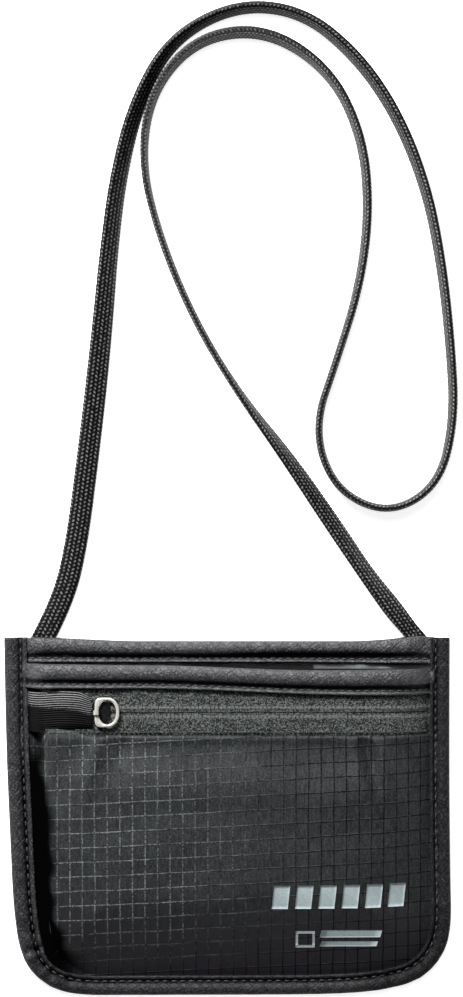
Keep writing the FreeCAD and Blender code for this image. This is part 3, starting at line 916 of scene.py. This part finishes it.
def add_inner_layers():
    back_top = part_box("back_panel")[1].y / MM
    wall_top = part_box("divider_panel")[1].y / MM
    for layer in (
        ("back_cloth", "back_panel", "plain_nylon", back_top - 1.6, 2.5, back_height, 0.1131),
        ("back_liner_cloth", "back_shield_liner", "shield_fabric", back_top - 2.6, 3.5,
         back_liner_height, 0.1119),
        ("divider_cloth", "divider_panel", "plain_nylon", wall_top, 3, divider_height, 0.1059),
        ("front_liner_cloth", "front_shield_liner", "shield_fabric", wall_top - 1.5, 3.5,
         front_liner_height, 0.1045),
    ):
        add_layer(*layer)


# ---- folded bindings
def section_points(name, controls, step):
    """A smooth closed outline of a strip's cross-section: across, and up."""
    loop = spline_points(name, [(across, up, 0) for across, up in controls + controls[:1]])
    return resample(loop, step)[0][:-1, :2]


def sweep(name, line, along, inward, across, up):
    """A strip whose cross-section, which may change on the way, follows a line."""
    rings = line[:, None] + inward[:, None] * across[..., None]
    rings[..., 2] += up
    steps = np.hypot(np.diff(across, axis=1), np.diff(up, axis=1))
    around = np.concatenate([np.zeros((len(line), 1)), np.cumsum(steps, axis=1)], axis=1)
    uv = np.stack([np.repeat(along[:, None], across.shape[1], axis=1), around], axis=-1)
    return tube_mesh(name, rings, uv)


# Across is a share of the binding's width from its outer fold, up is in millimetres.
PERIMETER_SECTION = [
    (1.00, 0.02), (0.50, 0.00), (0.08, 0.00), (0.00, 0.30), (-0.01, 1.40), (0.00, 2.45),
    (0.07, 3.10), (0.26, 3.45), (0.46, 3.20), (0.58, 2.60), (0.68, 2.15), (0.77, 2.25),
    (0.85, 3.00), (0.93, 3.20), (1.00, 3.00), (1.02, 2.50), (0.95, 2.35), (0.80, 2.00),
    (0.60, 2.00), (0.30, 2.36), (0.12, 2.10), (0.10, 1.30), (0.12, 0.60), (0.30, 0.36), (1.00, 0.36),
]
STITCH_SHARE = 0.72
# Painted shade laid over the whole perimeter tape.
EDGE_PAINTED_SHADE = 0.40


def binding_width(x, y):
    """The binding is widest down the left side."""
    left = 1 - smoothstep(x, -66, -48)
    side = BINDING_RIGHT + (BINDING_LEFT - BINDING_RIGHT) * left
    bottom = smoothstep(-y, 42, 54)
    return side + (BINDING_BOTTOM - side) * bottom


def corner_share(x, y):
    """1 round the two bottom corners, where the tape is gathered."""
    return smoothstep(np.abs(x), 40, 56) * smoothstep(-y, 24, 42)


def add_perimeter_binding():
    section = section_points("perimeter_section", PERIMETER_SECTION, 0.12)
    x, y = EDGE[:, 0], EDGE[:, 1]
    width = binding_width(x, y)
    across = section[None, :, 0] * width[:, None]
    up = np.repeat(section[None, :, 1], len(EDGE), axis=0)
    top_face = smoothstep(up, 1.5, 2.6)
    strength = 0.10 + 0.26 * corner_share(x, y)
    crease = ripple(EDGE_AT[:, None], across * 0.35, 4.4, 21)
    swelling = ripple(EDGE_AT[:, None], across * 0.1, 17, 22)
    up = up + top_face * (strength[:, None] * crease + 0.10 * swelling)
    tape = sweep("perimeter_tape", EDGE, EDGE_AT, INWARD, across, up)
    # Painted shade, stored in the pressed field: in the stitched furrow on the top face, and, as dull, over
    # the whole tape, more down the right side, round the bottom corners and along the bottom.
    furrow_painted_shade = 1 - smoothstep(np.abs(section[:, 0] - STITCH_SHARE + 0.03), 0.06, 0.2)
    dull = EDGE_PAINTED_SHADE + 0.36 * smoothstep(x, 35, 66) + 0.16 * corner_share(x, y)
    dull = np.minimum(dull + 0.26 * smoothstep(-y, 46, 54), 0.9)
    furrow_painted_shade = furrow_painted_shade * (section[:, 1] > 2)
    add_field(tape, "pressed", np.maximum(furrow_painted_shade[None], dull[:, None]).ravel())
    place(tape, "pouch", "binding_tape", "perimeter_binding")

    row = EDGE + INWARD * width[:, None] * STITCH_SHARE
    row[:, 2] = 2.4 + 0.5 * strength * ripple(EDGE_AT, width * STITCH_SHARE * 0.35, 4.4, 21)
    add_stitches("perimeter_thread", row, 2.8, "perimeter_stitching")


def band_controls(drop):
    """A folded tape's cross-section: across from its top edge, and up from the cloth that it binds.

    The lower flap runs under the bound layers, this far down.
    """
    upper_flap = [
        (7.35, -0.05), (7.75, 0.25), (7.65, 0.75), (7.25, 0.95), (6.75, 0.55), (6.20, 0.05), (5.55, 0.00),
        (5.00, 0.50), (4.40, 1.35), (3.20, 1.85), (1.50, 1.70), (0.05, 0.95),
    ]
    fold = [(-0.05, -drop / 2), (0.05, -drop - 0.2)]
    lower_flap = [(0.90, -drop - 0.3), (7.40, -drop - 0.3), (7.40, -drop), (0.80, -drop)]
    inside = [(0.35, -drop + 0.1), (0.35, 0.0), (0.80, 0.20), (2.60, 0.60), (5.30, -0.25)]
    return upper_flap + fold + lower_flap + inside


BAND_WIDTH = 7.75
BAND_STITCH_DOWN = 6.35
BAND_VALLEY_DOWN = 5.7
BAND_DROP = 1.0
BAND_START = LEFT + BINDING_LEFT - 1.2
BAND_END = RIGHT - BINDING_RIGHT + 1.2
BAND_X = np.linspace(BAND_START, BAND_END, round((BAND_END - BAND_START) / 0.6))


def add_band(name, node, thread_name, thread_node, shape, seed):
    """A folded tape along a pocket's mouth.

    Its shape gives, at each BAND_X: its top and lip edges, the height that it lies at, the height
    of what is under it, how far it is pressed flat towards its ends, and how many times as far as
    usual the painted shade of the stitched furrow reaches up it.
    """
    top, lip, low, under, flatness, shade = shape
    x = BAND_X
    section = section_points(name + "_section", band_controls(BAND_DROP), 0.12)
    line = grid_points(x, top, 0 * x)
    down = np.repeat([[0.0, -1.0, 0.0]], len(x), axis=0)
    depth = (low - under) / (BAND_DROP + 0.3)
    width_share = (top - lip) / BAND_WIDTH
    across = section[None, :, 0] * width_share[:, None]
    rise = np.where(section[None, :, 1] > 0, flatness[:, None], depth[:, None]) * section[None, :, 1]
    top_face = smoothstep(section[None, :, 1], 0.0, 0.5)
    fine = ripple(x[:, None], across * 0.5, 6, seed)
    broad = ripple(x[:, None], across * 0.3, 22, seed + 1)
    up = low[:, None] + rise + top_face * 0.2 * (fine + broad) * flatness[:, None]
    band = sweep(name, line, x - BAND_START, down, across, up)
    # Painted shade in the stitched furrow under the crest, stored in the pressed field.
    from_valley = section[None, :, 0] - BAND_VALLEY_DOWN
    reach = np.where(from_valley < 0, shade[:, None], 1)
    valley_painted_shade = 1 - smoothstep(np.abs(from_valley) / reach, 0.5, 1.2)
    add_field(band, "pressed", (valley_painted_shade * (section[:, 1] > -0.2)).ravel())
    place(band, "pouch", "binding_tape", node)

    row = line + down * BAND_STITCH_DOWN * width_share[:, None]
    row[:, 2] = low + 0.3 * flatness
    add_stitches(thread_name, row[3:-3], 2.6, thread_node)


def back_band_shape(x):
    """Lies low, and rises over the cord's ends."""
    over_cord = 0.5 * hump(x, 61, 5)
    top = TOP - 1.1 + 1.2 * (smoothstep(-x, 27, 64) + smoothstep(x, 40, 64)) + over_cord
    lip = TOP - 8.1 - 0.3 * smoothstep(x, 20, 60)
    low = 1.45 + 0.5 * smoothstep(np.abs(x), 46, 53) + 0.4 * smoothstep(x, 50, 58)
    under = 0 * x + 0.04
    flatness = 1 - 0.7 * smoothstep(np.abs(x), 59, 65)
    # The painted shade of the furrow reaches further up the band over its right half.
    shade = 1 + 1.9 * smoothstep(x, -8, 18) * (1 - smoothstep(x, 44, 58))
    return top, lip, low, under, flatness, shade


def front_band_shape(x):
    """Lies on the zip's upper tape, and sags towards the middle."""
    box_low, box_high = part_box("front_top_binding")
    sag = 0.35 * smoothstep(x, -60, -26) + 1.55 * smoothstep(x, -26, 28) - 0.3 * smoothstep(x, 35, 60)
    top = box_high.y / MM + 1.2 - sag
    lip = box_low.y / MM + 0.9 - 2.2 * smoothstep(x, -30, 45)
    inset = inset_from_edge(x, top - 4)
    low = tape_height(x, top - 4, inset) + 0.5
    under = divider_height(x, top - 4, inset) - PLY * 2
    flatness = 1 - 0.45 * smoothstep(np.abs(x), 59, 65)
    return top, lip, low, under, flatness, 0 * x + 1.25


def add_bands():
    for side, shape, seed in (("back", back_band_shape, 31), ("front", front_band_shape, 41)):
        add_band(f"{side}_band", f"{side}_top_binding", f"{side}_band_thread", f"{side}_band_stitching",
                 shape(BAND_X), seed)


# ---- stitches
STITCH_LENGTH_SHARE = 0.68
STITCH_RADIUS = 0.27


def add_stitches(name, row, pitch, node):
    """A row of short threads that dip into the cloth at both ends."""
    line, at = resample(row, 0.1)
    count = int(at[-1] / pitch)
    half = pitch * STITCH_LENGTH_SHARE / 2
    shares = np.linspace(-1, 1, 7)
    turns = np.linspace(0, 2 * math.pi, 8, endpoint=False)
    points, faces, uv = [], [], []
    for number in range(count):
        middle = (number + 0.5) * at[-1] / count + RNG.uniform(-0.1, 0.1)
        where = middle + shares * half
        centre = np.stack([np.interp(where, at, line[:, axis]) for axis in range(3)], axis=1)
        centre[:, 2] -= 0.22 * shares ** 4
        ahead = unit(centre[-1:] - centre[:1])[0]
        side = unit(np.cross(ahead, (0, 0, 1)))
        radius = STITCH_RADIUS * np.sqrt(np.clip(1.05 - shares ** 4, 0.05, 1))
        ring = np.cos(turns)[:, None] * side + np.sin(turns)[:, None] * np.array([0, 0, 1.0])
        first = len(points) * len(shares) * len(turns)
        points.append(centre[:, None] + ring[None] * radius[:, None, None])
        index = first + np.arange(len(shares) * len(turns)).reshape(len(shares), len(turns))
        faces += tube_faces(index)
        uv.append(np.stack(np.meshgrid(turns * STITCH_RADIUS, where), axis=-1))
    thread = make_mesh(name, np.array(points).reshape(-1, 3), faces, np.array(uv).reshape(-1, 2))
    return place(thread, "pouch", "thread", node)


# ---- the zip
ZIP_GAP = 0.12
TAPE_LEFT = -58.5
COIL_SEAM = 1.6


def add_zip_tapes():
    """Two halves of tape that meet over the hidden coils, and rise slightly over them."""
    upper_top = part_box("zip_tape_upper")[1].y / MM - 0.5
    lower_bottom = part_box("zip_tape_lower")[0].y / MM
    halves = (
        ("upper", upper_top, ZIP_Y + ZIP_GAP),
        ("lower", ZIP_Y - ZIP_GAP, lower_bottom),
    )
    for side, top, bottom in halves:
        x, y = cloth_grid(top, bottom, 5.0, 0.7)
        x = np.maximum(x, TAPE_LEFT + 0.02 * np.arange(x.shape[1]))
        away = np.abs(y - ZIP_Y)
        seam = hump(away, COIL_SEAM, 0.3)
        lift = 0.3 * hump(away, 0, 2.4) - 0.7 * hump(away, 0, 0.45) - 0.1 * seam
        inset = inset_from_edge(x, y)
        slack = 0.12 * ripple(x, y * 0.6, 18, 51) * swell(inset, 6.5, 12)
        under_panel = 0.7 * smoothstep(PANEL_TOP_Y - y, -0.6, 0.6)
        z = tape_height(x, y, inset) + lift + slack - under_panel
        tape = sheet_mesh(f"zip_tape_{side}_cloth", grid_points(x, y, z), PLY)
        add_field(tape, "seam", np.tile(seam.ravel(), 2))
        place(tape, "pouch", "zip_tape", f"zip_tape_{side}")

    x = np.linspace(TAPE_LEFT + 1, RIGHT - BINDING_RIGHT - 1, 300)
    y = np.full(len(x), PANEL_TOP_Y + 1.0)
    z = tape_height(x, y, inset_from_edge(x, y)) + 0.1
    add_stitches("zip_hem_thread", grid_points(x, y, z), 1.5, "zip_hem_stitching")


RING_POINTS = 120
RING_SECTION_POINTS = 20
HOLE_WIDE, HOLE_TALL = 5.7, 7.8


def add_puller():
    """A cast D-shaped ring with a straight side at the hinge and an oval hole."""
    low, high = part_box("zip_puller")
    centre_x, centre_y = (low.x + high.x) / 2 / MM, (low.y + high.y) / 2 / MM
    half_wide, half_tall = (high.x - low.x) / 2 / MM, (high.y - low.y) / 2 / MM
    half_thick, centre_z = (high.z - low.z) / 2 / MM, (high.z + low.z) / 2 / MM
    turn = np.linspace(0, 2 * math.pi, RING_POINTS, endpoint=False)
    squareness = np.where(np.cos(turn) < 0, 2 / 5.0, 2 / 2.2)
    outer_x = signed_power(np.cos(turn), squareness) * half_wide
    outer_y = signed_power(np.sin(turn), squareness) * half_tall
    inner_x = np.cos(turn) * HOLE_WIDE / 2 + 0.1
    inner_y = np.sin(turn) * HOLE_TALL / 2
    round_section = np.linspace(0, 2 * math.pi, RING_SECTION_POINTS, endpoint=False)
    share = (0.5 + 0.5 * np.cos(round_section))[None]
    x = centre_x + inner_x[:, None] + (outer_x - inner_x)[:, None] * share
    y = centre_y + inner_y[:, None] + (outer_y - inner_y)[:, None] * share
    z = centre_z + signed_power(np.sin(round_section), 0.6) * half_thick + 0 * x
    rings = grid_points(x, y, z)
    ring = tube_mesh("zip_pull_ring", rings, rings[..., :2], closed=True)
    place(ring, "puller", "puller_metal", "zip_puller")


RIBS = 18
TAB_RIGHT = -43.5
TAB_THICKNESS = 0.25
RIB_HEIGHT = 0.18


def add_zip_end_tab():
    """A short ribbed ribbon over the zip's closed end, arched over the slider beneath it."""
    low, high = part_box("zip_end_tab")
    top, bottom = high.y / MM + 0.2, low.y / MM
    share, across = np.meshgrid(np.linspace(0, 1, 61), np.linspace(0, 1, RIBS * 6 + 1))
    rib = 0.5 - 0.5 * np.cos(across * RIBS * 2 * math.pi)
    rib_number = np.floor(across * RIBS)
    frayed = 0.35 * np.sin(rib_number * 2.4) + 0.2 * np.sin(rib_number * 5.1)
    x = LEFT + 6 + (TAB_RIGHT + frayed * 0.6 - LEFT - 6) * share
    y = top + (bottom - top) * across
    pulled = smoothstep(x, -48, -43)
    y = y - 1.6 * pulled * (1 - across) ** 2 + 0.25 * np.sin(x * 0.33)
    inset = inset_from_edge(x, y)
    arch = 1 - smoothstep(np.abs(y - ZIP_Y), 3.6, 6.6)
    over_slider = smoothstep(x, -57, -50)
    z = tape_height(x, y, inset) + 0.2 + over_slider * (0.15 + 0.8 * arch)
    z = z + over_slider * (0.1 * ripple(x * 0.5, y, 7, 61) + 0.1 * (y - ZIP_Y))
    z = z - 0.5 * (1 - over_slider) * (1 - arch)
    z = np.minimum(z, 1.9 + 40 * smoothstep(x, LEFT + BINDING_LEFT - 0.2, LEFT + BINDING_LEFT + 9))
    under_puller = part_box("zip_puller")[0].z / MM + 0.03 + 0.22 * (TAB_RIGHT - x)
    z = np.minimum(z, under_puller) + RIB_HEIGHT * rib
    tab = sheet_mesh("zip_end_ribbon", grid_points(x, y, z), TAB_THICKNESS)
    # Painted light: the rubbed mask keeps the ribs lit along the ribbon's top and fades them to painted shade
    # towards its bottom edge.
    rubbed = 1 - 0.95 * smoothstep(across + 0.2 * (1 - share), 0.4, 0.75)
    add_field(tab, "relief", np.tile((rib * rubbed).ravel(), 2))
    place(tab, "pouch", "ribbon", "zip_end_tab")


# ---- hook and loop, print
def add_closure_strip(name, node, slot, rough):
    """A strip of hook or loop tape whose face is really uneven."""
    low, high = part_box(node)
    x, y = np.meshgrid(np.arange(low.x / MM, high.x / MM, 0.35), np.arange(low.y / MM, high.y / MM, 0.35))
    z = high.z / MM + rough * RNG.uniform(-1, 0, x.shape)
    strip = sheet_mesh(name, grid_points(x, y[::-1], z), (high.z - low.z) / MM - rough)
    place(strip, "pouch", slot, node)


PRINT_LIFT = 0.09
PRINT_THICKNESS = 0.14
PRINT_POINTS = 8
PRINT_LEFT, PRINT_TOP = 14.4, -21.4
PRINT_BAR_COUNT = 6
PRINT_BAR_PITCH = 7.5
PRINT_BAR_SIZE = (5.2, 7.6)
CARD_LEFT, CARD_TOP = 22.2, -36.4
CARD_WIDE, CARD_TALL = 6.2, 5.6
CARD_LINE = 0.8
CARD_GAP = 0.03


def print_patch(left, top, wide, tall, slant=0.0):
    """A grid of points on the panel's face, for a bar whose top leans to the right."""
    share, down = np.meshgrid(np.linspace(0, 1, PRINT_POINTS), np.linspace(0, 1, PRINT_POINTS))
    x = left + slant * (1 - down) + wide * share
    y = top - tall * down
    return grid_points(x, y, panel_height(x, y, inset_from_edge(x, y)) + PRINT_LIFT)


def print_patches():
    """A row of plain bars, and under it the outline of a card beside two lines."""
    for number in range(PRINT_BAR_COUNT):
        left, top = PRINT_LEFT + number * PRINT_BAR_PITCH, PRINT_TOP + number * 0.08
        yield print_patch(left, top, *PRINT_BAR_SIZE, 0.8)
    for top in (CARD_TOP, CARD_TOP - CARD_TALL + CARD_LINE):
        yield print_patch(CARD_LEFT, top, CARD_WIDE, CARD_LINE)
    inside = CARD_LINE + CARD_GAP
    for left in (CARD_LEFT, CARD_LEFT + CARD_WIDE - CARD_LINE):
        yield print_patch(left, CARD_TOP - inside, CARD_LINE, CARD_TALL - 2 * inside)
    beside = CARD_LEFT + CARD_WIDE + 1.6
    yield print_patch(beside, CARD_TOP + 0.2, 49.6 - beside, 2.4, 0.6)
    yield print_patch(beside, CARD_TOP - 3.6, 48.4 - beside, 1.7, 0.6)


def add_print():
    points, faces, uv = [], [], []
    patch_size = PRINT_POINTS * PRINT_POINTS
    index = np.arange(patch_size).reshape(PRINT_POINTS, PRINT_POINTS)
    for number, upper in enumerate(print_patches()):
        first = number * 2 * patch_size
        faces += sheet_faces(first + index, first + index + patch_size)
        points += [upper.reshape(-1, 3), upper.reshape(-1, 3) - (0, 0, PRINT_THICKNESS)]
        uv += [upper[..., :2].reshape(-1, 2)] * 2
    ink = make_mesh("front_print_ink", np.concatenate(points), faces, np.concatenate(uv))
    place(ink, "pouch", "print_ink", "front_print")


# ---- everything in order
add_front_panel()
add_inner_layers()
add_perimeter_binding()
add_bands()
add_zip_tapes()
add_zip_end_tab()
add_puller()
add_closure_strip("hook_tape", "hook_strip", "hook_tape", 0.3)
add_closure_strip("loop_tape", "loop_strip", "loop_tape", 0.2)
add_print()

SHOWN_SOLIDS = {"zip_coil_upper": "zip_coil", "zip_coil_lower": "zip_coil", "zip_slider": "slider_metal"}
for node, slot in SHOWN_SOLIDS.items():
    for material_slot in bpy.data.objects[node].material_slots:
        material_slot.material = MATERIALS[slot]
